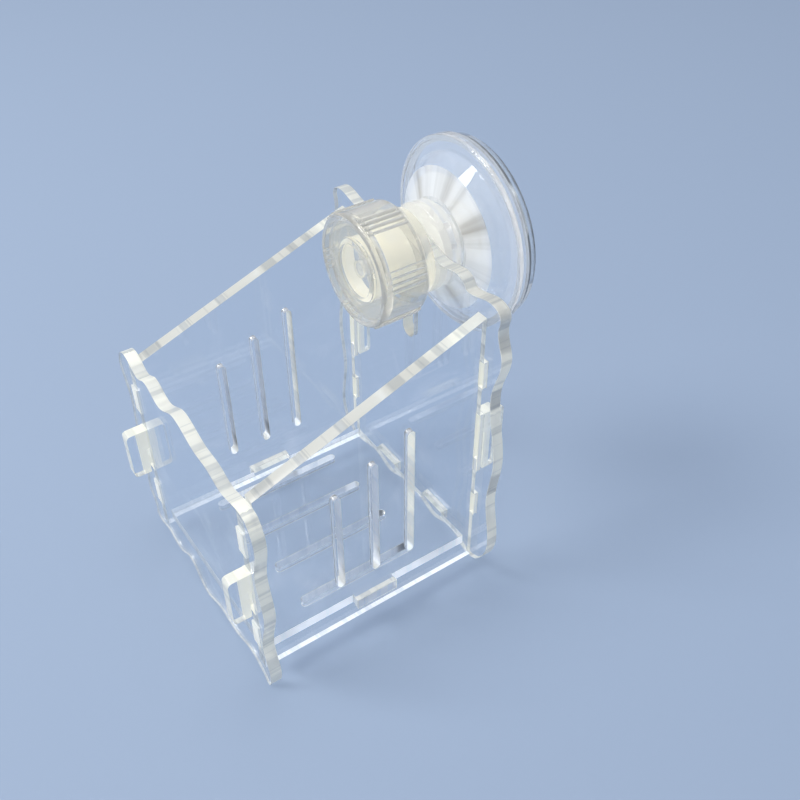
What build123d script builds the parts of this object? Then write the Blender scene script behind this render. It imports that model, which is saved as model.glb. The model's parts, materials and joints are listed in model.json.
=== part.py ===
from build123d import *
import os

# Hanging basket of clear sheet acrylic on a screw suction cup.
# Frame: the origin is the middle of the cup's lip on the glass, +Y points into the glass,
# -Y towards the room and +Z up. Lengths are in millimetres.

# Sheet and fits
sheet = 3.0
slot_fit = 0.1
turn_fit = 0.1
travel_fit = 0.2
face_fit = 0.05

# Basket
basket_width = 58.5
basket_depth = 59.3
stud_height = 79.5
side_front_height = 56.2
side_rear_height = 77.8

# Upright slots of the side panels
side_slot_width = 2.0
side_slot_count = 3
side_slot_pitch = 10.0
side_slot_start = 19.7
side_slot_foot = 14.8
side_slot_length = 30.7
side_slot_rise = 4.7

# Hooks and locating tabs on the side panels' upright edges
tab_height = 7.3
front_hook_height = 14.0
front_hook_reach = 5.2
front_hook_middle = 28.3
front_tab_offset = 16.3
rear_hook_height = 18.3
rear_hook_reach = 4.3
rear_hook_middle = 40.4
rear_tab_offset = 21.1
hook_slit = 0.7
hook_arm = 6.0
hook_step = 3.9
hook_round = 1.2

# Floor panel
floor_height = 3.0
floor_gap = 1.0
floor_side_tab = 11.5
floor_side_tab_middle = 29.75
floor_rear_tab = 9.0
floor_rear_tab_offset = 11.1
floor_slot_width = 2.0
floor_slot_length = 33.5
floor_slot_pitch = 13.0
floor_slot_count = 4
floor_slot_start = 12.5

# Front panel: a rectangle whose edges wave. A wave is (share of the edge, offset outwards).
front_overhang = 3.75
front_top = 56.0
front_foot = -2.4
front_far_waves = [(0.08, 0.2), (0.14, 2.1), (0.33, 0.2), (0.55, 1.0), (0.79, -0.2), (0.91, 2.0)]
front_top_waves = [
    (0.11, 0.3), (0.15, -1.0), (0.23, 1.0), (0.33, -1.2), (0.47, 2.4),
    (0.63, -0.3), (0.73, -0.7), (0.80, -2.3), (0.92, -0.9),
]
front_near_waves = [(0.15, 1.2), (0.34, -0.9), (0.54, 0.8), (0.81, -2.3), (0.95, -0.5)]
front_foot_waves = [
    (0.10, -0.5), (0.19, -1.4), (0.25, 0.1), (0.34, 0.4), (0.42, 0.0), (0.56, 2.7),
    (0.68, -2.8), (0.76, 0.0), (0.83, 0.4), (0.89, -0.9), (0.97, 0.4),
]
front_far_foot = Vector(-1.0, 1.3)
front_far_top = Vector(0.2, 0.2)
front_near_top = Vector(-1.2, -1.6)
front_near_foot = Vector(-2.5, -3.2)
front_corner_round = 0.9

# Rear panel: one half of its outline, mirrored. The ear is given by points counted from the
# ledge's corner, the head by waves about the line from its crown to the ledge.
rear_overhang = 4.75
rear_ledge = 80.8
rear_edge_waves = [(0.04, -0.3), (0.11, 1.4), (0.23, -0.7), (0.52, 1.5), (0.69, 0.0), (0.86, 1.8)]
rear_foot_waves = [(0.22, 1.0), (0.50, -0.7), (0.68, 1.3), (0.90, -0.8)]
rear_foot_corner = Vector(-2.4, 0.2)
ear_points = [Vector(-0.4, -2.4), Vector(-1.0, 0.2), Vector(-4.0, 1.3), Vector(-8.5, 0.4)]
head_half_width = 21.7
head_crown = 4.0
head_waves = [(0.23, 0.1), (0.53, -0.4), (0.75, 1.2), (0.86, 1.7), (0.93, 1.3)]
head_directions = [Vector(1, 0), Vector(1, -2)]

# Stud, with the travel that its slot in the rear panel leaves
stud_radius = 2.0
stud_head_radius = 5.0
stud_head_thick = 1.6
stud_cover = 1.5
height_travel = 22.2

# Knob
knob_radius = 13.5
knob_grip_length = 11.9
knob_neck_length = 3.7
knob_neck_radius = 10.5
knob_round = 0.8
knob_rib_radius = 0.6
knob_rib_sink = 0.15
knob_rib_groups = 6
knob_rib_group_size = 4
knob_rib_spacing = 6.0
knob_rib_turn = 14.0
knob_recess_radius = 12.0
knob_recess_depth = 1.3
knob_ring_outer = 7.9
knob_ring_inner = 6.5
knob_ring_height = 0.9
knob_end_wall = 1.4
knob_bore_end = 0.3
knob_shell = 1.8
knob_core_radius = 7.5

# Washer between the cover and the rear panel
washer_radius = 10.7
washer_thick = 2.0
washer_round = 0.4

# Cover
cover_height = 11.3
cover_rim_radius = 23.5
cover_rim_height = 2.7
cover_rim_bead = 1.2
cover_rim_round = 0.3
cover_seat_width = 1.8
cover_flange_radius = 19.8
cover_flange_height = 2.3
cover_shoulder_radius = 17.2
cover_shoulder_height = 5.6
cover_brow_radius = 10.6
cover_brow_height = 7.9
cover_groove_radius = 9.2
cover_groove_length = 1.4
cover_collar_radius = 10.4
cover_wall = 1.5
cover_cone_wall = 2.1
cover_ceiling_radius = 9.0
cover_ceiling_height = 6.0

# Disc
disc_radius = 23.3
disc_edge = 2.5
disc_lip_width = 5.2
disc_taper = 0.6
disc_dish = 1.3
disc_dish_midway = 0.94
disc_web = 1.7
disc_boss_radius = 7.5
disc_boss_height = 6.9

# Places along the stud, counted from the glass
cover_back = -disc_edge
washer_back = cover_back - cover_height
rear_back = washer_back - washer_thick - face_fit
rear_front = rear_back - sheet
front_back = rear_front - basket_depth
knob_back = rear_front - face_fit
grip_back = knob_back - knob_neck_length
knob_front = grip_back - knob_grip_length
bore_end = knob_front + knob_recess_depth + knob_end_wall
stud_tip = bore_end + knob_bore_end
stud_head_back = -disc_dish - stud_cover
stud_head_front = stud_head_back - stud_head_thick

# Places across and up the basket
base = -stud_height
side_outside = basket_width / 2
side_inside = side_outside - sheet
side_middle = side_outside - sheet / 2
floor_middle = base + floor_height + sheet / 2
front_hook = base + front_hook_middle
front_tabs = [front_hook - front_tab_offset, front_hook + front_tab_offset]
rear_hook = base + rear_hook_middle
rear_tabs = [rear_hook - rear_tab_offset, rear_hook + rear_tab_offset]
slot_width = sheet + 2 * slot_fit


def y_plane(y):
    """Plane across the stud at y: local x is X, local y is Z, and it extrudes towards the room."""
    return Plane.XZ.offset(-y)


def wavy_edge(start, end, waves, start_shift=Vector(), end_shift=Vector()):
    """Points of an edge that waves about the line from start to end, outwards being to its left."""
    along = end - start
    outwards = along.normalized().rotate(Axis.Z, 90)
    inner = [start + along * share + outwards * offset for share, offset in waves]
    return [start + start_shift] + inner + [end + end_shift]


def upright_slots(hook, hook_height, tabs):
    """Slots for one hook and its tabs in both side panels."""
    for x in (-side_middle, side_middle):
        with Locations((x, hook)):
            Rectangle(slot_width, hook_height + 2 * slot_fit, mode=Mode.SUBTRACT)
        with Locations(*[(x, tab) for tab in tabs]):
            Rectangle(slot_width, tab_height + 2 * slot_fit, mode=Mode.SUBTRACT)


# Front panel
front_half = side_outside + front_overhang
far_foot = Vector(-front_half, base + front_foot)
far_top = Vector(-front_half, base + front_top)
near_top = Vector(front_half, base + front_top)
near_foot = Vector(front_half, base + front_foot)
with BuildPart() as front_panel:
    with BuildSketch(y_plane(front_back)):
        with BuildLine():
            Spline(*wavy_edge(far_foot, far_top, front_far_waves, front_far_foot, front_far_top))
            Spline(*wavy_edge(far_top, near_top, front_top_waves, front_far_top, front_near_top))
            Spline(*wavy_edge(near_top, near_foot, front_near_waves, front_near_top, front_near_foot))
            Spline(*wavy_edge(near_foot, far_foot, front_foot_waves, front_near_foot, front_far_foot))
        outline = make_face()
        fillet(outline.vertices(), radius=front_corner_round)
        upright_slots(front_hook, front_hook_height, front_tabs)
    extrude(amount=sheet)
front_panel.part.label = "front_panel"

# Rear panel: the half outline runs from the head's crown round the ear to the middle of the foot
rear_half = side_outside + rear_overhang
ledge_corner = Vector(rear_half, base + rear_ledge)
ledge_start = Vector(head_half_width, base + rear_ledge)
crown = Vector(0, base + rear_ledge + head_crown)
foot_corner = Vector(rear_half, base)
foot_middle = Vector(0, base)
ear = [ledge_corner + point for point in ear_points]
with BuildPart() as rear_panel:
    with BuildSketch(y_plane(rear_back)):
        with BuildLine():
            Spline(*wavy_edge(crown, ledge_start, head_waves), tangents=head_directions)
            Spline(ledge_start, *reversed(ear))
            Spline(*wavy_edge(ear[0], foot_corner, rear_edge_waves, end_shift=rear_foot_corner))
            Spline(*wavy_edge(foot_corner, foot_middle, rear_foot_waves, start_shift=rear_foot_corner))
            mirror(about=Plane.YZ)
        make_face()
        upright_slots(rear_hook, rear_hook_height, rear_tabs)
        with Locations((-floor_rear_tab_offset, floor_middle), (floor_rear_tab_offset, floor_middle)):
            Rectangle(floor_rear_tab + 2 * slot_fit, slot_width, mode=Mode.SUBTRACT)
        with Locations((0, -height_travel / 2)):
            SlotCenterToCenter(height_travel, 2 * (stud_radius + travel_fit), rotation=90, mode=Mode.SUBTRACT)
    extrude(amount=sheet)
rear_panel.part.label = "rear_panel"


def hook_outline(panel_inside, direction, middle, height, reach):
    """Hook through a panel: an arm, and a finger that hangs behind a slit along the panel's far face."""
    panel_outside = panel_inside + direction * sheet
    foot = middle - height / 2
    with Locations((panel_inside + direction * (sheet + reach) / 2, middle)):
        Rectangle(sheet + reach, height)
    with Locations((panel_inside + direction * sheet / 2, foot + hook_step / 2)):
        Rectangle(sheet, hook_step, mode=Mode.SUBTRACT)
    with Locations((panel_outside + direction * hook_slit / 2, middle - hook_arm / 2)):
        Rectangle(hook_slit, height - hook_arm, mode=Mode.SUBTRACT)


# Side panels
side_slots = [
    (front_back + side_slot_start + i * side_slot_pitch, side_slot_length + i * side_slot_rise)
    for i in range(side_slot_count)
]
os.makedirs("parts", exist_ok=True)
for side_name, side_x in (("side_panel_left", -side_outside), ("side_panel_right", side_inside)):
    with BuildPart() as side_panel:
        with BuildSketch(Plane.YZ.offset(side_x)):
            with BuildLine():
                Polyline(
                    (front_back, base),
                    (rear_front, base),
                    (rear_front, base + side_rear_height),
                    (front_back, base + side_front_height),
                    close=True,
                )
            make_face()
            hook_outline(front_back, -1, front_hook, front_hook_height, front_hook_reach)
            hook_outline(rear_front, 1, rear_hook, rear_hook_height, rear_hook_reach)
            with Locations(*[(front_back - sheet / 2, tab) for tab in front_tabs]):
                Rectangle(sheet, tab_height)
            with Locations(*[(rear_front + sheet / 2, tab) for tab in rear_tabs]):
                Rectangle(sheet, tab_height)
            for slot_y, slot_length in side_slots:
                with Locations((slot_y, base + side_slot_foot + slot_length / 2)):
                    SlotOverall(slot_length, side_slot_width, rotation=90, mode=Mode.SUBTRACT)
            with Locations((front_back + floor_side_tab_middle, floor_middle)):
                Rectangle(floor_side_tab + 2 * slot_fit, slot_width, mode=Mode.SUBTRACT)
        extrude(amount=sheet)
        hook_ends = side_panel.edges().filter_by(Axis.X).group_by(Axis.Y)
        fillet([hook_ends[0], hook_ends[-1]], radius=hook_round)
    side_panel.part.label = side_name
    export_step(side_panel.part, f"parts/{side_name}.step")

# Floor panel
floor_half = side_inside - floor_gap
floor_depth = basket_depth - 2 * floor_gap
with BuildPart() as floor_panel:
    with BuildSketch(Plane.XY.offset(base + floor_height)):
        with Locations((0, front_back + basket_depth / 2)):
            Rectangle(2 * floor_half, floor_depth)
        with Locations((0, front_back + floor_side_tab_middle)):
            Rectangle(basket_width, floor_side_tab)
        for x in (-floor_rear_tab_offset, floor_rear_tab_offset):
            with Locations((x, rear_back)):
                Rectangle(floor_rear_tab, sheet + 2 * floor_gap, align=(Align.CENTER, Align.MAX))
        with Locations((0, front_back + floor_slot_start + floor_slot_length / 2)):
            with GridLocations(floor_slot_pitch, 0, floor_slot_count, 1):
                SlotOverall(floor_slot_length, floor_slot_width, rotation=90, mode=Mode.SUBTRACT)
    extrude(amount=sheet)
floor_panel.part.label = "floor_panel"

# Stud: profiles of turned pieces are drawn with x as the radius and y along the stud
with BuildPart() as stud:
    with BuildSketch(Plane.XY):
        with BuildLine():
            Polyline(
                (0, stud_tip),
                (stud_radius, stud_tip),
                (stud_radius, stud_head_front),
                (stud_head_radius, stud_head_front),
                (stud_head_radius, stud_head_back),
                (0, stud_head_back),
                close=True,
            )
        make_face()
    revolve(axis=Axis.Y)
stud.part.label = "stud"

# Knob: a grip with a thin shell round a core, open behind between the shell and the neck
with BuildPart() as knob:
    with BuildSketch(y_plane(grip_back)):
        Circle(knob_radius)
    extrude(amount=knob_grip_length)
    fillet(knob.edges().filter_by(GeomType.CIRCLE), radius=knob_round)
    with BuildSketch(y_plane(knob_back)):
        Circle(knob_neck_radius)
    extrude(amount=knob_neck_length)
    with BuildSketch(y_plane(grip_back - knob_round)):
        for i in range(knob_rib_group_size):
            group_turn = knob_rib_turn + (i - (knob_rib_group_size - 1) / 2) * knob_rib_spacing
            with PolarLocations(knob_radius - knob_rib_sink, knob_rib_groups, start_angle=group_turn):
                Circle(knob_rib_radius)
    extrude(amount=knob_grip_length - 2 * knob_round)
    with BuildSketch(y_plane(knob_front + knob_recess_depth)):
        Circle(knob_recess_radius)
    extrude(amount=knob_recess_depth, mode=Mode.SUBTRACT)
    with BuildSketch(y_plane(knob_front + knob_recess_depth)):
        Circle(knob_ring_outer)
        Circle(knob_ring_inner, mode=Mode.SUBTRACT)
    extrude(amount=knob_ring_height)
    with BuildSketch(y_plane(grip_back)):
        Circle(knob_radius - knob_shell)
        Circle(knob_core_radius, mode=Mode.SUBTRACT)
    extrude(amount=grip_back - bore_end, mode=Mode.SUBTRACT)
    with BuildSketch(y_plane(knob_back)):
        Circle(stud_radius + turn_fit)
    extrude(amount=knob_back - bore_end, mode=Mode.SUBTRACT)
knob.part.label = "knob"

# Washer
with BuildPart() as washer:
    with BuildSketch(y_plane(washer_back)):
        Circle(washer_radius)
        Circle(stud_radius + turn_fit, mode=Mode.SUBTRACT)
    extrude(amount=washer_thick)
    outer_edges = washer.edges().filter_by(GeomType.CIRCLE).sort_by(SortBy.RADIUS)[-2:]
    fillet(outer_edges, radius=washer_round)
washer.part.label = "washer"

# Cover: a collar, a groove, a flat cone and a steeper skirt with a beaded rim, hollow over the disc
cover_front = cover_back - cover_height
flange_front = cover_back - cover_flange_height
flange_back = flange_front + cover_wall
shoulder = cover_back - cover_shoulder_height
brow = cover_back - cover_brow_height
groove_front = brow - cover_groove_length
ceiling = cover_back - cover_ceiling_height
rim_front = cover_back - cover_rim_height
bore_radius = stud_radius + turn_fit
seat_radius = cover_rim_radius - cover_seat_width
bead_radius = cover_rim_radius - cover_rim_bead
skirt_inside = cover_flange_radius - cover_cone_wall
with BuildPart() as cup_cover:
    with BuildSketch(Plane.XY):
        with BuildLine():
            Polyline(
                (bore_radius, cover_front),
                (cover_collar_radius, cover_front),
                (cover_collar_radius, groove_front),
                (cover_groove_radius, groove_front),
                (cover_groove_radius, brow),
                (cover_brow_radius, brow),
                (cover_shoulder_radius, shoulder),
                (cover_flange_radius, flange_front),
                (bead_radius, flange_front),
                (bead_radius, rim_front),
                (cover_rim_radius, rim_front),
                (cover_rim_radius, cover_back),
                (seat_radius, cover_back),
                (seat_radius, flange_back),
                (skirt_inside + cover_wall, flange_back),
                (skirt_inside, flange_front),
                (cover_shoulder_radius - cover_cone_wall, shoulder + cover_wall),
                (cover_ceiling_radius, ceiling),
                (bore_radius, ceiling),
                close=True,
            )
        make_face()
    revolve(axis=Axis.Y)
    round_edges = cup_cover.edges().filter_by(GeomType.CIRCLE)
    fillet(round_edges.filter_by_position(Axis.Y, rim_front, rim_front), radius=cover_rim_round)
cup_cover.part.label = "cup_cover"

# Disc: flat lip, dished middle and the boss that holds the stud's head
lip_inner = disc_radius - disc_lip_width
web_back = -disc_dish - disc_web
with BuildPart() as cup_disc:
    with BuildSketch(Plane.XY):
        with BuildLine():
            ThreePointArc((0, -disc_dish), (lip_inner / 2, -disc_dish_midway), (lip_inner, 0))
            Polyline(
                (lip_inner, 0),
                (disc_radius - disc_taper, 0),
                (disc_radius, -disc_edge),
                (seat_radius, -disc_edge),
                (lip_inner, -disc_web),
                (disc_boss_radius, web_back),
                (disc_boss_radius, -disc_boss_height),
                (stud_radius, -disc_boss_height),
                (stud_radius, stud_head_front),
                (stud_head_radius, stud_head_front),
                (stud_head_radius, stud_head_back),
                (0, stud_head_back),
                (0, -disc_dish),
            )
        make_face()
    revolve(axis=Axis.Y)
cup_disc.part.label = "cup_disc"

for piece in (front_panel, rear_panel, floor_panel, stud, knob, washer, cup_cover, cup_disc):
    export_step(piece.part, f"parts/{piece.part.label}.step")
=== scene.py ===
"""Hanging basket of clear sheet acrylic on a screw suction cup: looks, floor, light and camera."""

import json
import math

import bpy
from mathutils import Matrix, Vector

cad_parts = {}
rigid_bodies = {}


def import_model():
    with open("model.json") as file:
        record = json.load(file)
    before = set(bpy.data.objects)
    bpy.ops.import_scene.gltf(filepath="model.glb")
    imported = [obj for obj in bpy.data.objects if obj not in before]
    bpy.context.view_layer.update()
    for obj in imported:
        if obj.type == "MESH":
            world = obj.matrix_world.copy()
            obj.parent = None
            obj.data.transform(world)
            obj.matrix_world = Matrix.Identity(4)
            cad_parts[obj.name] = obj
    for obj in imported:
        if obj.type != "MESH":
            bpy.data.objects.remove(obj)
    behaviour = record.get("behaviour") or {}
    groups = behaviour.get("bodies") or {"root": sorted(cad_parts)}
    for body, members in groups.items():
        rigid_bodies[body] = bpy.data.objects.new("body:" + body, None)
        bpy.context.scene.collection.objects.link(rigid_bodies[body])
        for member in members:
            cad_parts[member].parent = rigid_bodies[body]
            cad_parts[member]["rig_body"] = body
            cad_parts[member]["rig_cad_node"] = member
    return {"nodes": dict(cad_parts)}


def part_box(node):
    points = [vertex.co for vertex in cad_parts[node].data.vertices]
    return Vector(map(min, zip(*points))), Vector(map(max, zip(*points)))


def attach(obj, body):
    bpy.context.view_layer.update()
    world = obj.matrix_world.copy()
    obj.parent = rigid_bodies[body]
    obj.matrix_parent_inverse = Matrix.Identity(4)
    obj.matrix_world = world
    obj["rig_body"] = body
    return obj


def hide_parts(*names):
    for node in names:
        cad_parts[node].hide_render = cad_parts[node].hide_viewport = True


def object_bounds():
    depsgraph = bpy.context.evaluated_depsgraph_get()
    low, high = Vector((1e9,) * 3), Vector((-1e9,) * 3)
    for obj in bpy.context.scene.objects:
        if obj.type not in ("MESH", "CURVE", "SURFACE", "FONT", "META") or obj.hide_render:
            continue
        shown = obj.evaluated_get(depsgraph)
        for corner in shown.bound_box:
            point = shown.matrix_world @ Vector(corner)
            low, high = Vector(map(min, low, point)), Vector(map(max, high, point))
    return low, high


bl_info = {
    "name": "Hanging Acrylic Basket",
    "version": (1, 0, 0),
    "blender": (4, 5, 0),
    "location": "View3D > Sidebar > Basket",
    "description": "Builds the looks of a clear slotted basket that hangs from a screw suction cup",
    "category": "Add Mesh",
}

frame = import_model()
packed_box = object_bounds()
nodes = frame["nodes"]

# All lengths are in metres. The origin is the centre of the cup's lip and +Y goes into the glass.

AXES = {"X": Vector((1, 0, 0)), "Y": Vector((0, 1, 0)), "Z": Vector((0, 0, 1))}
# The axis that each panel's polished faces look along
PANEL_AXIS = {
    "front_panel": "Y",
    "rear_panel": "Y",
    "side_panel_left": "X",
    "side_panel_right": "X",
    "floor_panel": "Z",
}
# The finishes on the cut faces of a panel, after its polished one, with the outline's first
CUT_FINISHES = {
    "X": ("Cut Edge", "Slot Wall", "Joint Wall", "Painted Glow Edge"),
    "Y": ("Cut Edge", "Joint Wall"),
    "Z": ("Cut Edge", "Slot Wall", "Painted Glow Edge"),
}
CUT_EDGE_SLOT = 1
# Opposite corners of the boxes round the long slots, and round the joint slots of one side
SLOT_BOX = {
    "X": (Vector((-1, -0.061, -0.066)), Vector((1, -0.036, -0.023))),
    "Z": (Vector((-0.022, -0.067, -1)), Vector((0.022, -0.031, 1))),
}
JOINT_BOX = (Vector((0.0258, -1, -0.0722)), Vector((0.0297, 1, -0.0136)))
# Distances from the middle beyond which a cut face of the floor panel is on a side tab, or on a side edge
# that takes the finish with the strongest painted glow
TAB_INSIDE = 0.0268
GLOW_EDGE_INSIDE = 0.0252
# Height under which a cut face of a side panel is its foot, which takes the finish with the strongest painted
# glow
FOOT_LINE = -0.078
# How nearly a face has to look along an axis, as the cosine of the angle between them
FACING = 0.9
FLAT = 0.999
# The same for a face that runs along the axis
LEVEL = 0.1

# Darker bands across a cut edge: the noise's scale and detail, where they start and are full, and their depth
BAND_LAYERS = (
    {"scale": 300.0, "detail": 3.0, "start": 0.52, "full": 0.57, "depth": 1.0},
    {"scale": 900.0, "detail": 2.0, "start": 0.58, "full": 0.64, "depth": 0.75},
)
# Share of the lamps' rays that go straight through the polished faces and the cut ones
SHEET_PASSED = 0.94
CUT_PASSED = 0.5
ACRYLIC_IOR = 1.49
# How much of its tint a moulded finish keeps where it is marked
MARKED_TINT = 0.95

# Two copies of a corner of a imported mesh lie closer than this
MERGE_DISTANCE = 0.000001
# Neighbouring faces that turn by less than this are one flat face
FLAT_ANGLE = math.radians(0.5)
# A panel's edges that turn by more than this are broken
BREAK_ANGLE = math.radians(50)
# The knob's core starts this share of the way out to the core's reach
CORE_SHARE = 0.9
# How deep the foot of the thread's ridge lies in the stud, and its width as a share of the pitch
THREAD_SINK = 0.00006
THREAD_FLANK = 0.92
THREAD_STEPS = 28
# A triangle in a circle of radius 1
TRIANGLE_HEIGHT = 1.5
TRIANGLE_WIDTH = math.sqrt(3)

FLOOR_SIZE = 6.0
FLOOR_DROP = 0.0001
SKY_COLOUR = (0.86, 0.91, 1.0, 1)
LAMP_AIM = (0.0, -0.04, -0.03)
LAMPS = {
    "window_key": {
        "place": (-0.34, -0.70, 0.80),
        "size": (0.42, 0.40),
        "power": 6.2,
        "colour": (1.0, 0.98, 0.94),
    },
    "ceiling": {
        "place": (-0.10, 0.10, 1.1),
        "size": (0.6, 0.6),
        "power": 2.6,
        "colour": (1.0, 0.99, 0.96),
    },
}
CAMERA_PLACE = (0.15422, -0.12784, 0.11870)
CAMERA_AIM = (0.03155, -0.04315, -0.01123)
CAMERA_LENS = 42.72
CAMERA_SENSOR = 36.0
CAMERA_REACH = (0.005, 20.0)


class BasketSheetSettings(bpy.types.PropertyGroup):
    """Sizes and colours of the five sheet panels"""

    edge_break: bpy.props.FloatProperty(
        name="Edge break",
        description="Width of the fine chamfer along the panels' cut edges",
        default=0.00014,
        subtype="DISTANCE",
        unit="LENGTH",
    )
    cement_spread: bpy.props.FloatProperty(
        name="Cement spread",
        description="How far the milky cement runs out along the hooks from the end panels",
        default=0.0024,
        subtype="DISTANCE",
        unit="LENGTH",
    )
    sheet_colour: bpy.props.FloatVectorProperty(
        name="Sheet colour",
        description="Tint of the clear sheet",
        default=(0.97, 0.985, 1.0),
        subtype="COLOR",
        size=3,
        min=0,
        max=1,
    )
    scuff_colour: bpy.props.FloatVectorProperty(
        name="Scuff colour",
        description="Tint of the clear sheet where it is smeared or scratched",
        default=(0.90, 0.92, 0.94),
        subtype="COLOR",
        size=3,
        min=0,
        max=1,
    )
    edge_colour: bpy.props.FloatVectorProperty(
        name="Cut edge colour",
        description="Colour of the bright stretches of the cut edges",
        default=(0.90, 0.90, 0.83),
        subtype="COLOR",
        size=3,
        min=0,
        max=1,
    )
    edge_shade: bpy.props.FloatVectorProperty(
        name="Cut edge shade",
        description="Colour of the darker bands across the cut edges",
        default=(0.40, 0.44, 0.47),
        subtype="COLOR",
        size=3,
        min=0,
        max=1,
    )
    joint_colour: bpy.props.FloatVectorProperty(
        name="Joint colour",
        description="Colour of the milky walls round the hooks and tabs",
        default=(0.90, 0.89, 0.79),
        subtype="COLOR",
        size=3,
        min=0,
        max=1,
    )
    slot_colour: bpy.props.FloatVectorProperty(
        name="Slot wall colour",
        description="Colour of the clear walls of the long slots",
        default=(0.93, 0.96, 1.0),
        subtype="COLOR",
        size=3,
        min=0,
        max=1,
    )
    slot_shade: bpy.props.FloatVectorProperty(
        name="Slot wall shade",
        description="Colour of the darker bands on the slot walls",
        default=(0.66, 0.73, 0.82),
        subtype="COLOR",
        size=3,
        min=0,
        max=1,
    )


class BasketCupSettings(bpy.types.PropertyGroup):
    """Sizes and colours of the suction cup, its stud and its knob"""

    thread_pitch: bpy.props.FloatProperty(
        name="Thread pitch",
        description="Distance between the turns of the stud's thread",
        default=0.0007,
        subtype="DISTANCE",
        unit="LENGTH",
    )
    thread_depth: bpy.props.FloatProperty(
        name="Thread depth",
        description="Depth of the stud's thread below its outer diameter",
        default=0.00038,
        subtype="DISTANCE",
        unit="LENGTH",
    )
    thread_radius: bpy.props.FloatProperty(
        name="Thread radius",
        description="Outer radius of the stud's thread",
        default=0.002,
        subtype="DISTANCE",
        unit="LENGTH",
    )
    thread_length: bpy.props.FloatProperty(
        name="Thread length",
        description="Length of the threaded part of the stud",
        default=0.026,
        subtype="DISTANCE",
        unit="LENGTH",
    )
    core_reach: bpy.props.FloatProperty(
        name="Core reach",
        description="Radius that takes in the knob's core and nothing outside it",
        default=0.0077,
        subtype="DISTANCE",
        unit="LENGTH",
    )
    collar_reach: bpy.props.FloatProperty(
        name="Collar reach",
        description="Radius that takes in the cover's collar and groove",
        default=0.0108,
        subtype="DISTANCE",
        unit="LENGTH",
    )
    cone_reach: bpy.props.FloatProperty(
        name="Cone reach",
        description="Radius at which the cover's flat cone ends",
        default=0.0173,
        subtype="DISTANCE",
        unit="LENGTH",
    )
    cone_back: bpy.props.FloatProperty(
        name="Cone back",
        description="Place along the stud's axis behind which the cover is clear",
        default=-0.0065,
        subtype="DISTANCE",
        unit="LENGTH",
    )
    rim_colour: bpy.props.FloatVectorProperty(
        name="Rim colour",
        description="Tint of the cover's clear rim and of the stud",
        default=(0.95, 0.97, 1.0),
        subtype="COLOR",
        size=3,
        min=0,
        max=1,
    )
    # Milky tint of the cone, collar and washer: on the cone it is a painted highlight, on the collar and
    # washer partly their own milky plastic and partly a painted highlight.
    milky_and_highlight_colour: bpy.props.FloatVectorProperty(
        name="Milky plastic colour",
        description="Tint of the cover's cone and collar and of the washer",
        default=(0.98, 0.975, 0.94),
        subtype="COLOR",
        size=3,
        min=0,
        max=1,
    )
    # Darker radial streaks on the cone: partly moulded flow lines, partly painted reflection bands.
    streak_and_reflection_colour: bpy.props.FloatVectorProperty(
        name="Streak colour",
        description="Colour of the darker streaks in the cover's cone",
        default=(0.46, 0.44, 0.40),
        subtype="COLOR",
        size=3,
        min=0,
        max=1,
    )
    knob_colour: bpy.props.FloatVectorProperty(
        name="Knob colour",
        description="Tint of the knob's clear wall",
        default=(0.91, 0.89, 0.82),
        subtype="COLOR",
        size=3,
        min=0,
        max=1,
    )
    # Cream of the knob's core: partly its own milky plastic, partly a painted highlight.
    core_and_highlight_colour: bpy.props.FloatVectorProperty(
        name="Knob core colour",
        description="Colour of the milky core inside the knob",
        default=(0.98, 0.95, 0.80),
        subtype="COLOR",
        size=3,
        min=0,
        max=1,
    )
    disc_colour: bpy.props.FloatVectorProperty(
        name="Soft disc colour",
        description="Tint of the soft clear disc",
        default=(0.90, 0.94, 0.97),
        subtype="COLOR",
        size=3,
        min=0,
        max=1,
    )


class BasketStageSettings(bpy.types.PropertyGroup):
    """Floor and light round the basket"""

    floor_colour: bpy.props.FloatVectorProperty(
        name="Floor colour",
        description="Colour of the plain floor",
        default=(0.36, 0.45, 0.60),
        subtype="COLOR",
        size=3,
        min=0,
        max=1,
    )
    sky_strength: bpy.props.FloatProperty(
        name="Sky strength",
        description="Strength of the even light from all round",
        default=0.60,
        min=0,
        max=2,
    )


# Shader nodes


def socket_of(sockets, name, kind):
    """The socket of that name and type, because a Mix node has one of each name for every type."""
    return next(s for s in sockets if s.name == name and s.type == kind)


def feed(tree, socket, given):
    """Links a socket to the one given, or sets it to the plain value given."""
    if isinstance(given, bpy.types.NodeSocket):
        tree.links.new(given, socket)
    else:
        socket.default_value = given


def add_node(tree, kind, location, inputs=None, **settings):
    """A shader node with its settings, and with its inputs fed by name or number."""
    node = tree.nodes.new("ShaderNode" + kind)
    node.location = location
    for name, value in settings.items():
        setattr(node, name, value)
    for name, given in (inputs or {}).items():
        feed(tree, node.inputs[name], given)
    return node


def mix_colours(tree, location, factor, first, second):
    """The colour that a Mix node makes of two, each a socket or a plain colour."""
    mix = add_node(tree, "Mix", location, data_type="RGBA")
    feed(tree, socket_of(mix.inputs, "Factor", "VALUE"), factor)
    feed(tree, socket_of(mix.inputs, "A", "RGBA"), first)
    feed(tree, socket_of(mix.inputs, "B", "RGBA"), second)
    return socket_of(mix.outputs, "Result", "RGBA")


def group_with(name, inputs, outputs):
    """An empty shader group with named sockets, its input node and its output node."""
    group = bpy.data.node_groups.new(name, "ShaderNodeTree")
    for socket_name, kind, default in inputs:
        made = group.interface.new_socket(socket_name, in_out="INPUT", socket_type=kind)
        made.default_value = default
    for socket_name, kind in outputs:
        group.interface.new_socket(socket_name, in_out="OUTPUT", socket_type=kind)
    source = group.nodes.new("NodeGroupInput")
    source.location = (-900, 0)
    sink = group.nodes.new("NodeGroupOutput")
    sink.location = (700, 0)
    return group, source, sink


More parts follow.
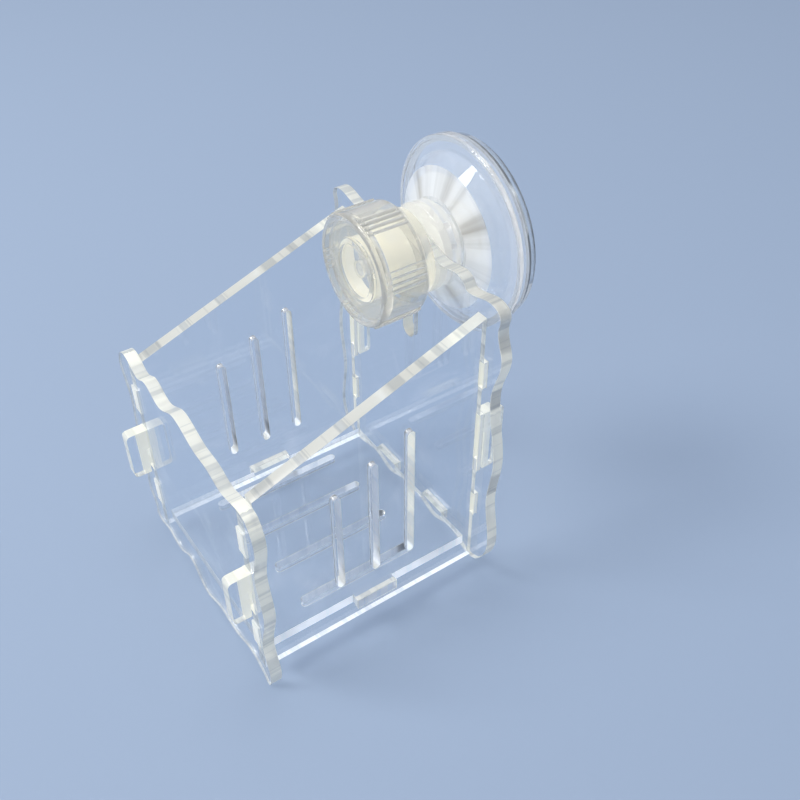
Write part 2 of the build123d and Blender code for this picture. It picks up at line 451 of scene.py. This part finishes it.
def cut_bands_group():
    """Bands and fine lines that a laser leaves across a cut edge."""
    group, source, sink = group_with(
        "Cut Bands",
        [
            ("Bright", "NodeSocketColor", (1, 1, 1, 1)),
            ("Shade", "NodeSocketColor", (0.5, 0.5, 0.5, 1)),
            ("Along", "NodeSocketVector", (1, 1, 1)),
            ("Amount", "NodeSocketFloat", 0.5),
        ],
        [("Color", "NodeSocketColor"), ("Height", "NodeSocketFloat")],
    )
    place = add_node(group, "TexCoord", (-1100, -300))
    flat = add_node(
        group,
        "VectorMath",
        (-760, -100),
        {0: place.outputs["Object"], 1: source.outputs["Along"]},
        operation="MULTIPLY",
    )
    colour = source.outputs["Bright"]
    for row, layer in enumerate(BAND_LAYERS):
        level = 200 - 260 * row
        noise = add_node(
            group,
            "TexNoise",
            (-500, level),
            {"Vector": flat.outputs["Vector"], "Scale": layer["scale"], "Detail": layer["detail"]},
        )
        band = add_node(
            group,
            "MapRange",
            (-280, level),
            {
                "Value": noise.outputs["Fac"],
                "From Min": layer["start"],
                "From Max": layer["full"],
                "To Max": layer["depth"],
            },
        )
        share = add_node(
            group,
            "Math",
            (-60, level),
            {0: band.outputs["Result"], 1: source.outputs["Amount"]},
            operation="MULTIPLY",
        )
        colour = mix_colours(
            group, (180 + 240 * row, level), share.outputs["Value"], colour, source.outputs["Shade"]
        )
    fine = add_node(
        group, "TexNoise", (-280, -300), {"Vector": flat.outputs["Vector"], "Scale": 2600.0, "Detail": 3.0}
    )
    feed(group, sink.inputs["Color"], colour)
    feed(group, sink.inputs["Height"], fine.outputs["Fac"])
    return group


def handling_marks_group():
    """Roughness of a polished clear surface with faint smears and hairline scratches."""
    group, source, sink = group_with(
        "Handling Marks",
        [
            ("Clean", "NodeSocketFloat", 0.02),
            ("Smeared", "NodeSocketFloat", 0.10),
            ("Smear Scale", "NodeSocketFloat", 40.0),
        ],
        [("Roughness", "NodeSocketFloat"), ("Marks", "NodeSocketFloat")],
    )
    place = add_node(group, "TexCoord", (-900, -300))
    smear = add_node(
        group,
        "TexNoise",
        (-500, 200),
        {
            "Vector": place.outputs["Object"],
            "Scale": source.outputs["Smear Scale"],
            "Detail": 4.0,
            "Distortion": 1.4,
        },
    )
    smeared = add_node(
        group, "MapRange", (-280, 200), {"Value": smear.outputs["Fac"], "From Min": 0.56, "From Max": 0.78}
    )
    stretched = add_node(
        group, "Mapping", (-700, -300), {"Vector": place.outputs["Object"], "Scale": (40.0, 40.0, 900.0)}
    )
    hair = add_node(
        group, "TexNoise", (-500, -260), {"Vector": stretched.outputs["Vector"], "Scale": 1.0, "Detail": 2.0}
    )
    hairline = add_node(
        group, "MapRange", (-280, -260), {"Value": hair.outputs["Fac"], "From Min": 0.70, "From Max": 0.76}
    )
    marks = add_node(
        group,
        "Math",
        (-60, 0),
        {0: smeared.outputs["Result"], 1: hairline.outputs["Result"]},
        operation="MAXIMUM",
    )
    spread = add_node(
        group,
        "MapRange",
        (200, 100),
        {
            "Value": marks.outputs["Value"],
            "To Min": source.outputs["Clean"],
            "To Max": source.outputs["Smeared"],
        },
    )
    feed(group, sink.inputs["Roughness"], spread.outputs["Result"])
    feed(group, sink.inputs["Marks"], marks.outputs["Value"])
    return group


def radial_flow_and_reflection_group():
    """Fine streaks that run out from the stud's axis, as melt leaves them in a moulded cone; where they
    darken the colour they are partly painted reflection bands.
    """
    group, source, sink = group_with(
        "Radial Flow",
        [("Streaks", "NodeSocketFloat", 2.4)],
        [("Height", "NodeSocketFloat")],
    )
    place = add_node(group, "TexCoord", (-900, -200))
    apart = add_node(group, "SeparateXYZ", (-700, -200), {"Vector": place.outputs["Object"]})
    turn = add_node(
        group, "Math", (-500, -200), {0: apart.outputs["Z"], 1: apart.outputs["X"]}, operation="ARCTAN2"
    )
    joined = add_node(group, "CombineXYZ", (-300, -200), {"X": turn.outputs["Value"]})
    streaks = add_node(
        group,
        "TexNoise",
        (-100, 0),
        {"Vector": joined.outputs["Vector"], "Scale": source.outputs["Streaks"], "Detail": 4.0},
    )
    feed(group, sink.inputs["Height"], streaks.outputs["Fac"])
    return group


# Materials


def new_material(name):
    """A material with its node tree and its Principled shader."""
    material = bpy.data.materials.new(name)
    material.use_nodes = True
    tree = material.node_tree
    return material, tree, tree.nodes["Principled BSDF"]


def let_lamps_through(tree, share):
    """Lets a share of the lamps' rays, and of those between plain surfaces, straight through the plastic."""
    path = add_node(tree, "LightPath", (-200, 500))
    either = add_node(
        tree,
        "Math",
        (0, 500),
        {0: path.outputs["Is Shadow Ray"], 1: path.outputs["Is Diffuse Ray"]},
        operation="MAXIMUM",
    )
    passed = add_node(tree, "Math", (180, 500), {0: either.outputs["Value"], 1: share}, operation="MULTIPLY")
    open_way = add_node(tree, "BsdfTransparent", (180, 300))
    mix = add_node(
        tree,
        "MixShader",
        (420, 300),
        {
            0: passed.outputs["Value"],
            1: tree.nodes["Principled BSDF"].outputs["BSDF"],
            2: open_way.outputs["BSDF"],
        },
    )
    feed(tree, tree.nodes["Material Output"].inputs["Surface"], mix.outputs["Shader"])


def handled(tree, shader, marks, roughness, smear_scale):
    """Gives a clear shader the roughness, clean and smeared, of a handled surface, and returns its marks."""
    clean, smeared = roughness
    touched = add_node(
        tree,
        "Group",
        (-420, -120),
        {"Clean": clean, "Smeared": smeared, "Smear Scale": smear_scale},
        node_tree=marks,
    )
    feed(tree, shader.inputs["Roughness"], touched.outputs["Roughness"])
    return touched.outputs["Marks"]


def clear_sheet(marks, colour, scuff_colour):
    """Polished faces of cast clear sheet, with a faint painted glow where they are smeared or scratched."""
    material, tree, shader = new_material("Clear Sheet")
    touched = handled(tree, shader, marks, roughness=(0.0, 0.06), smear_scale=60.0)
    tint = mix_colours(tree, (-200, 120), touched, (*colour, 1), (*scuff_colour, 1))
    feed(tree, shader.inputs["Base Color"], tint)
    # Painted glow: the smears and scratches emit a faint white light.
    scuff_painted_glow = mix_colours(tree, (-200, -340), touched, (0, 0, 0, 1), (1, 1, 1, 1))
    feed(tree, shader.inputs["Emission Color"], scuff_painted_glow)
    shader.inputs["Emission Strength"].default_value = 0.05
    shader.inputs["IOR"].default_value = ACRYLIC_IOR
    shader.inputs["Transmission Weight"].default_value = 1.0
    let_lamps_through(tree, SHEET_PASSED)
    return material


def cut_edge(bands, name, along, colours, amount, clearness, painted_glow):
    """Laser-cut edge: frosted, with darker bands that run straight across the sheet, and a painted glow in
    its banded colour.
    """
    bright, shade = colours
    material, tree, shader = new_material(name)
    banded = add_node(
        tree,
        "Group",
        (-420, 60),
        {"Bright": (*bright, 1), "Shade": (*shade, 1), "Along": along, "Amount": amount},
        node_tree=bands,
    )
    relief = add_node(
        tree,
        "Bump",
        (-200, -260),
        {"Strength": 0.25, "Distance": 0.00003, "Height": banded.outputs["Height"]},
    )
    feed(tree, shader.inputs["Normal"], relief.outputs["Normal"])
    feed(tree, shader.inputs["Base Color"], banded.outputs["Color"])
    # Painted glow: the cut edge emits its own banded colour, standing in for light carried along the sheet.
    feed(tree, shader.inputs["Emission Color"], banded.outputs["Color"])
    shader.inputs["Emission Strength"].default_value = painted_glow
    shader.inputs["Roughness"].default_value = 0.30
    shader.inputs["IOR"].default_value = ACRYLIC_IOR
    shader.inputs["Transmission Weight"].default_value = clearness
    let_lamps_through(tree, CUT_PASSED)
    return material


def moulded_clear(marks, name, colour, roughness, clearness, passed, painted_glow):
    """Glossy moulded clear plastic with flow marks in its skin and a painted glow in its own tint, that lets
    a share of the lamps' rays pass.
    """
    material, tree, shader = new_material(name)
    touched = handled(tree, shader, marks, roughness, smear_scale=110.0)
    place = add_node(tree, "TexCoord", (-900, -420))
    flow = add_node(
        tree, "TexNoise", (-640, -420), {"Vector": place.outputs["Object"], "Scale": 180.0, "Detail": 2.0}
    )
    relief = add_node(
        tree, "Bump", (-200, -420), {"Strength": 0.08, "Distance": 0.0002, "Height": flow.outputs["Fac"]}
    )
    feed(tree, shader.inputs["Normal"], relief.outputs["Normal"])
    dulled = [part * MARKED_TINT for part in colour]
    tint = mix_colours(tree, (-200, 120), touched, (*colour, 1), (*dulled, 1))
    feed(tree, shader.inputs["Base Color"], tint)
    shader.inputs["IOR"].default_value = ACRYLIC_IOR
    shader.inputs["Transmission Weight"].default_value = clearness
    # Painted glow: the plastic emits its own tint, standing in for light caught inside it.
    shader.inputs["Emission Color"].default_value = (*colour, 1)
    shader.inputs["Emission Strength"].default_value = painted_glow
    let_lamps_through(tree, passed)
    return material


def streak(radial, material, colour):
    """Lays radial streaks of a darker colour over the tint and the relief of a moulded finish; in the colour
    they are partly flow marks and partly painted reflection bands.
    """
    tree = material.node_tree
    shader = tree.nodes["Principled BSDF"]
    skin = shader.inputs["Normal"].links[0].from_socket
    plain = shader.inputs["Base Color"].links[0].from_socket
    pattern = add_node(tree, "Group", (-420, -620), node_tree=radial)
    relief = add_node(
        tree,
        "Bump",
        (-20, -520),
        {"Strength": 0.2, "Distance": 0.0006, "Height": pattern.outputs["Height"], "Normal": skin},
    )
    feed(tree, shader.inputs["Normal"], relief.outputs["Normal"])
    dark = add_node(
        tree,
        "MapRange",
        (-220, -760),
        {"Value": pattern.outputs["Height"], "From Min": 0.46, "From Max": 0.66},
    )
    # The darker streaks: partly flow marks, partly painted reflection bands.
    streaked = mix_colours(tree, (0, 200), dark.outputs["Result"], plain, (*colour, 1))
    feed(tree, shader.inputs["Base Color"], streaked)


# Meshes


def leave_edit():
    """Object mode with nothing selected."""
    if bpy.context.mode != "OBJECT":
        bpy.ops.object.mode_set(mode="OBJECT")
    bpy.ops.object.select_all(action="DESELECT")


def make_active(thing):
    """Selects one object alone and makes it active."""
    leave_edit()
    thing.hide_set(False)
    thing.select_set(True)
    bpy.context.view_layer.objects.active = thing


def edit_all(piece):
    """Edit mode on one piece with its whole mesh selected."""
    make_active(piece)
    bpy.ops.object.mode_set(mode="EDIT")
    bpy.ops.mesh.select_all(action="SELECT")


def copy_of(node_name, piece_name):
    """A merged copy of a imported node's mesh as a piece of its own."""
    make_active(nodes[node_name])
    bpy.ops.object.duplicate()
    piece = bpy.context.view_layer.objects.active
    piece.name = piece_name
    piece.data.name = piece_name
    piece.parent = None
    piece.matrix_world = Matrix.Identity(4)
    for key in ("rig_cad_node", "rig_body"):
        if key in piece:
            del piece[key]
    piece.data.materials.clear()
    make_active(piece)
    bpy.ops.mesh.customdata_custom_splitnormals_clear()
    edit_all(piece)
    bpy.ops.mesh.remove_doubles(threshold=MERGE_DISTANCE)
    bpy.ops.mesh.dissolve_limited(angle_limit=FLAT_ANGLE)
    bpy.ops.mesh.normals_make_consistent(inside=False)
    bpy.ops.object.mode_set(mode="OBJECT")
    return piece


def select_faces(piece, wanted):
    """Selects the faces for which wanted(face) holds, and no others, and stays in edit mode."""
    make_active(piece)
    bpy.context.tool_settings.mesh_select_mode = (False, False, True)
    bpy.ops.object.mode_set(mode="EDIT")
    bpy.ops.mesh.select_all(action="DESELECT")
    bpy.ops.object.mode_set(mode="OBJECT")
    for face in piece.data.polygons:
        face.select = bool(wanted(face))
    bpy.ops.object.mode_set(mode="EDIT")


def shade_smooth(piece, sharpest):
    """Smooth shading across the edges that turn by less than a number of degrees."""
    make_active(piece)
    bpy.ops.object.shade_smooth_by_angle(angle=math.radians(sharpest))


def cut_across(piece, seats):
    """Cuts a side panel's faces where its hooks and tabs enter and leave the end panels."""
    for plane in [y for seat in seats for y in seat]:
        edit_all(piece)
        bpy.ops.mesh.bisect(plane_co=(0, plane, 0), plane_no=(0, 1, 0))
        bpy.ops.object.mode_set(mode="OBJECT")


def within(point, box):
    """Whether a point lies between the two corners of a box."""
    low, high = box
    return all(low[i] < point[i] < high[i] for i in range(3))


def from_axis(point):
    """Distance of a point from the stud's axis."""
    return math.hypot(point.x, point.z)


def cut_finish(axis, face):
    """Name of the finish that a cut face takes in a panel whose polished faces look along the axis."""
    out, along, up = abs(face.center.x), face.center.y, face.center.z
    if axis in SLOT_BOX and within(face.center, SLOT_BOX[axis]):
        return "Slot Wall"
    if axis == "Y" and within(Vector((out, along, up)), JOINT_BOX):
        return "Joint Wall"
    # The side panels' feet and the floor's side edges take the finish with the strongest painted glow.
    if axis == "X" and face.normal.z < -FACING and up < FOOT_LINE:
        return "Painted Glow Edge"
    if axis == "Z" and out > TAB_INSIDE:
        return "Slot Wall"
    if axis == "Z" and out > GLOW_EDGE_INSIDE and abs(face.normal.x) > FACING:
        return "Painted Glow Edge"
    return "Cut Edge"


def finish_cuts(piece, axis, seats):
    """Gives a panel's cut faces their finishes, and a side panel's hooks and tabs their cement."""
    for face in piece.data.polygons:
        if axis == "X" and any(near < face.center.y < far for near, far in seats):
            name = "Joint Wall"
        elif abs(face.normal.dot(AXES[axis])) < FACING:
            name = cut_finish(axis, face)
        else:
            continue
        face.material_index = CUT_EDGE_SLOT + CUT_FINISHES[axis].index(name)


def break_edges(piece, width):
    """A fine chamfer along a panel's sharp edges, in the finish of its outline."""
    broken = piece.modifiers.new("Edge Break", "BEVEL")
    broken.width = width
    broken.segments = 2
    broken.limit_method = "ANGLE"
    broken.angle_limit = BREAK_ANGLE
    broken.material = CUT_EDGE_SLOT
    make_active(piece)
    bpy.ops.object.modifier_apply(modifier=broken.name)


def thread_ridge(root, crest, pitch, tip, length):
    """A helical ridge of triangular section about the Y axis, from just behind the tip."""
    leave_edit()
    bpy.ops.mesh.primitive_circle_add(vertices=3, radius=1.0, rotation=(0, 0, -math.pi / 2))
    ridge = bpy.context.object
    bpy.ops.object.transform_apply(location=False, rotation=True, scale=False)
    edit_all(ridge)
    depth = crest - root + THREAD_SINK
    size = (depth / TRIANGLE_HEIGHT, THREAD_FLANK * pitch / TRIANGLE_WIDTH, 1)
    bpy.ops.transform.resize(value=size, center_override=(0, 0, 0))
    bpy.ops.transform.translate(value=(crest - depth / TRIANGLE_HEIGHT, tip + pitch, 0))
    bpy.ops.object.mode_set(mode="OBJECT")
    sweep = ridge.modifiers.new("Thread", "SCREW")
    sweep.axis = "Y"
    sweep.screw_offset = pitch
    sweep.iterations = int(length / pitch)
    sweep.steps = THREAD_STEPS
    sweep.render_steps = THREAD_STEPS
    bpy.ops.object.modifier_apply(modifier=sweep.name)
    edit_all(ridge)
    bpy.ops.mesh.fill_holes(sides=3)
    bpy.ops.mesh.select_all(action="SELECT")
    bpy.ops.mesh.normals_make_consistent(inside=False)
    bpy.ops.object.mode_set(mode="OBJECT")
    return ridge


class BASKET_OT_panels(bpy.types.Operator):
    """Build the five clear panels with broken cut edges, made bright partly by a painted glow"""

    bl_idname = "basket.panels"
    bl_label = "Sheet Panels"

    def execute(self, context):
        settings = context.scene.basket_sheet
        polished = clear_sheet(handling_marks_group(), settings.sheet_colour, settings.scuff_colour)
        bands = cut_bands_group()
        outline = (settings.edge_colour, settings.edge_shade)
        slot = (settings.slot_colour, settings.slot_shade)
        joint = (settings.joint_colour, settings.edge_colour)
        # The last number of each look is a painted glow, emission that brightens the cut faces; it is
        # strongest on the lit edges and the cemented joints.
        looks = {
            "Cut Edge": {"colours": outline, "amount": 0.45, "clearness": 0.35, "painted_glow": 0.06},
            "Slot Wall": {"colours": slot, "amount": 0.6, "clearness": 0.92, "painted_glow": 0.05},
            "Joint Wall": {"colours": joint, "amount": 0.5, "clearness": 0.25, "painted_glow": 0.22},
            "Painted Glow Edge": {"colours": slot, "amount": 0.5, "clearness": 0.30, "painted_glow": 0.40},
        }
        cuts = {}
        for axis, names in CUT_FINISHES.items():
            along = Vector((1, 1, 1)) - AXES[axis]
            cuts[axis] = [cut_edge(bands, f"{name} {axis}", along, **looks[name]) for name in names]
        # The stretches of Y in which the hooks and tabs sit in the end panels, and the cement round them
        front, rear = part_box("front_panel"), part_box("rear_panel")
        spread = settings.cement_spread
        seats = [(front[0].y - spread, front[1].y), (rear[0].y, rear[1].y + spread)]
        for node_name, axis in PANEL_AXIS.items():
            piece = copy_of(node_name, node_name + "_polished")
            for finish in (polished, *cuts[axis]):
                piece.data.materials.append(finish)
            if axis == "X":
                cut_across(piece, seats)
            finish_cuts(piece, axis, seats)
            break_edges(piece, settings.edge_break)
            shade_smooth(piece, sharpest=25)
            normal = AXES[axis]
            select_faces(piece, lambda face: abs(face.normal.dot(normal)) > FLAT)
            bpy.ops.mesh.faces_shade_flat()
            leave_edit()
            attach(piece, "basket")
            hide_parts(node_name)
        return {"FINISHED"}


class BASKET_OT_cup(bpy.types.Operator):
    """Finish the suction cup's disc, its cover and the washer"""

    bl_idname = "basket.cup"
    bl_label = "Suction Cup"

    def execute(self, context):
        settings = context.scene.basket_cup
        marks = bpy.data.node_groups["Handling Marks"]
        rim = moulded_clear(
            marks,
            "Moulded Clear",
            settings.rim_colour,
            roughness=(0.015, 0.06),
            clearness=0.91,
            passed=0.88,
            painted_glow=0.05,
        )
        # Painted highlight: the cone's milky white and its glow stand in for the bright reflection of a
        # window on the clear cone.
        cone = moulded_clear(
            marks,
            "Cover Cone Painted Highlight",
            settings.milky_and_highlight_colour,
            roughness=(0.04, 0.12),
            clearness=0.58,
            passed=0.68,
            painted_glow=0.13,
        )
        # The collar's and washer's milky cream is partly their own plastic and partly a painted highlight,
        # with a painted glow.
        milky = moulded_clear(
            marks,
            "Milky Collar And Highlight",
            settings.milky_and_highlight_colour,
            roughness=(0.04, 0.12),
            clearness=0.76,
            passed=0.70,
            painted_glow=0.07,
        )
        soft = moulded_clear(
            marks,
            "Soft Clear",
            settings.disc_colour,
            roughness=(0.05, 0.12),
            clearness=0.93,
            passed=0.80,
            painted_glow=0.0,
        )
        streak(radial_flow_and_reflection_group(), cone, settings.streak_and_reflection_colour)
        for node_name, finish in (("washer", milky), ("cup_disc", soft)):
            mesh = nodes[node_name].data
            mesh.materials.clear()
            mesh.materials.append(finish)
        piece = copy_of("cup_cover", "moulded_cover")
        finishes = (rim, cone, milky)
        for finish in finishes:
            piece.data.materials.append(finish)
        for face in piece.data.polygons:
            corners = [piece.data.vertices[i].co for i in face.vertices]
            out = max(from_axis(corner) for corner in corners)
            back = max(corner.y for corner in corners)
            if out < settings.collar_reach:
                face.material_index = finishes.index(milky)
            elif out < settings.cone_reach and back < settings.cone_back:
                face.material_index = finishes.index(cone)
        shade_smooth(piece, sharpest=16)
        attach(piece, "cover")
        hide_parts("cup_cover")
        return {"FINISHED"}


class BASKET_OT_knob(bpy.types.Operator):
    """Build the ribbed knob with its milky core, whose cream and glow are partly a painted highlight"""

    bl_idname = "basket.knob"
    bl_label = "Knob"

    def execute(self, context):
        settings = context.scene.basket_cup
        marks = bpy.data.node_groups["Handling Marks"]
        wall = moulded_clear(
            marks,
            "Knob Wall",
            settings.knob_colour,
            roughness=(0.05, 0.16),
            clearness=0.84,
            passed=0.80,
            painted_glow=0.02,
        )
        # The core's cream colour and strong glow are partly its own milky plastic and partly a painted
        # highlight on the sleeve.
        core = moulded_clear(
            marks,
            "Knob Core And Highlight",
            settings.core_and_highlight_colour,
            roughness=(0.12, 0.22),
            clearness=0.40,
            passed=0.60,
            painted_glow=0.30,
        )
        piece = copy_of("knob", "moulded_knob")
        finishes = (wall, core)
        for finish in finishes:
            piece.data.materials.append(finish)
        reach = settings.core_reach

        def on_core(face):
            """Whether a face looks outwards from the core's round side."""
            level = abs(face.normal.y) < LEVEL
            outwards = face.normal.x * face.center.x + face.normal.z * face.center.z > 0
            return level and outwards and reach * CORE_SHARE < from_axis(face.center) < reach

        select_faces(piece, on_core)
        piece.active_material_index = finishes.index(core)
        bpy.ops.object.material_slot_assign()
        shade_smooth(piece, sharpest=30)
        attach(piece, "knob")
        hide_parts("knob")
        return {"FINISHED"}


class BASKET_OT_stud(bpy.types.Operator):
    """Build the threaded stud that clamps the knob to the cup"""

    bl_idname = "basket.stud"
    bl_label = "Threaded Stud"

    def execute(self, context):
        settings = context.scene.basket_cup
        piece = copy_of("stud", "threaded_stud")
        make_active(piece)
        crest = settings.thread_radius
        root = crest - settings.thread_depth
        bpy.context.tool_settings.mesh_select_mode = (True, False, False)
        for corner in piece.data.vertices:
            corner.select = abs(from_axis(corner.co) - crest) < settings.thread_depth / 2
        bpy.ops.object.mode_set(mode="EDIT")
        bpy.ops.transform.resize(value=(root / crest, 1, root / crest), center_override=(0, 0, 0))
        bpy.ops.object.mode_set(mode="OBJECT")
        tip = min(corner.co.y for corner in piece.data.vertices)
        ridge = thread_ridge(root, crest, settings.thread_pitch, tip, settings.thread_length)
        make_active(piece)
        ridge.select_set(True)
        bpy.ops.object.join()
        piece.data.materials.append(bpy.data.materials["Moulded Clear"])
        shade_smooth(piece, sharpest=35)
        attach(piece, "cup")
        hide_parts("stud")
        return {"FINISHED"}


def hang_lamp(name, place, size, power, colour):
    """A soft rectangular lamp that faces the basket and doesn't show in the picture."""
    bpy.ops.object.light_add(type="AREA", location=place)
    lamp = bpy.context.object
    lamp.name = name
    lamp.data.shape = "RECTANGLE"
    lamp.data.size, lamp.data.size_y = size
    lamp.data.energy = power
    lamp.data.color = colour
    lamp.visible_camera = False
    lamp.rotation_euler = (Vector(LAMP_AIM) - Vector(place)).to_track_quat("-Z", "Y").to_euler()


class BASKET_OT_stage(bpy.types.Operator):
    """Lay the floor, hang the lamps and set the camera at the photograph's angle"""

    bl_idname = "basket.stage"
    bl_label = "Floor, Light and Camera"

    def execute(self, context):
        settings = context.scene.basket_stage
        leave_edit()
        foot = packed_box[0].z - FLOOR_DROP
        bpy.ops.mesh.primitive_plane_add(size=FLOOR_SIZE, location=(0, 0, foot))
        floor = context.object
        floor.name = "floor"
        bpy.ops.object.transform_apply(location=True, rotation=True, scale=True)
        material, _, shader = new_material("Plain Floor")
        shader.inputs["Base Color"].default_value = (*settings.floor_colour, 1)
        shader.inputs["Roughness"].default_value = 0.7
        shader.inputs["Specular IOR Level"].default_value = 0.2
        floor.data.materials.append(material)
        world = bpy.data.worlds.new("Studio")
        context.scene.world = world
        world.use_nodes = True
        sky = world.node_tree.nodes["Background"]
        sky.inputs["Color"].default_value = SKY_COLOUR
        sky.inputs["Strength"].default_value = settings.sky_strength
        for name, lamp in LAMPS.items():
            hang_lamp(name, **lamp)
        bpy.ops.object.camera_add(location=CAMERA_PLACE)
        camera = context.object
        camera.name = "photo_camera"
        look = Vector(CAMERA_AIM) - camera.location
        camera.rotation_euler = look.to_track_quat("-Z", "Y").to_euler()
        camera.data.sensor_width = CAMERA_SENSOR
        camera.data.lens = CAMERA_LENS
        camera.data.clip_start, camera.data.clip_end = CAMERA_REACH
        context.scene.camera = camera
        context.scene.view_settings.view_transform = "Standard"
        return {"FINISHED"}


class BASKET_PT_sidebar(bpy.types.Panel):
    """Settings and steps of the hanging basket"""

    bl_label = "Hanging Basket"
    bl_idname = "BASKET_PT_sidebar"
    bl_space_type = "VIEW_3D"
    bl_region_type = "UI"
    bl_category = "Basket"

    def draw(self, context):
        column = self.layout.column()
        for name, settings in SETTINGS.items():
            for setting in settings.__annotations__:
                column.prop(getattr(context.scene, name), setting)
        for step in STEPS:
            column.operator(step.bl_idname)


STEPS = (BASKET_OT_panels, BASKET_OT_cup, BASKET_OT_knob, BASKET_OT_stud, BASKET_OT_stage)
SETTINGS = {
    "basket_sheet": BasketSheetSettings,
    "basket_cup": BasketCupSettings,
    "basket_stage": BasketStageSettings,
}


def register():
    for name, settings in SETTINGS.items():
        bpy.utils.register_class(settings)
        setattr(bpy.types.Scene, name, bpy.props.PointerProperty(type=settings))
    for step in STEPS:
        bpy.utils.register_class(step)
    bpy.utils.register_class(BASKET_PT_sidebar)


def unregister():
    bpy.utils.unregister_class(BASKET_PT_sidebar)
    for step in reversed(STEPS):
        bpy.utils.unregister_class(step)
    for name, settings in SETTINGS.items():
        delattr(bpy.types.Scene, name)
        bpy.utils.unregister_class(settings)


def main():
    register()
    bpy.ops.basket.panels()
    bpy.ops.basket.cup()
    bpy.ops.basket.knob()
    bpy.ops.basket.stud()
    bpy.ops.basket.stage()


if __name__ == "__main__":
    main()
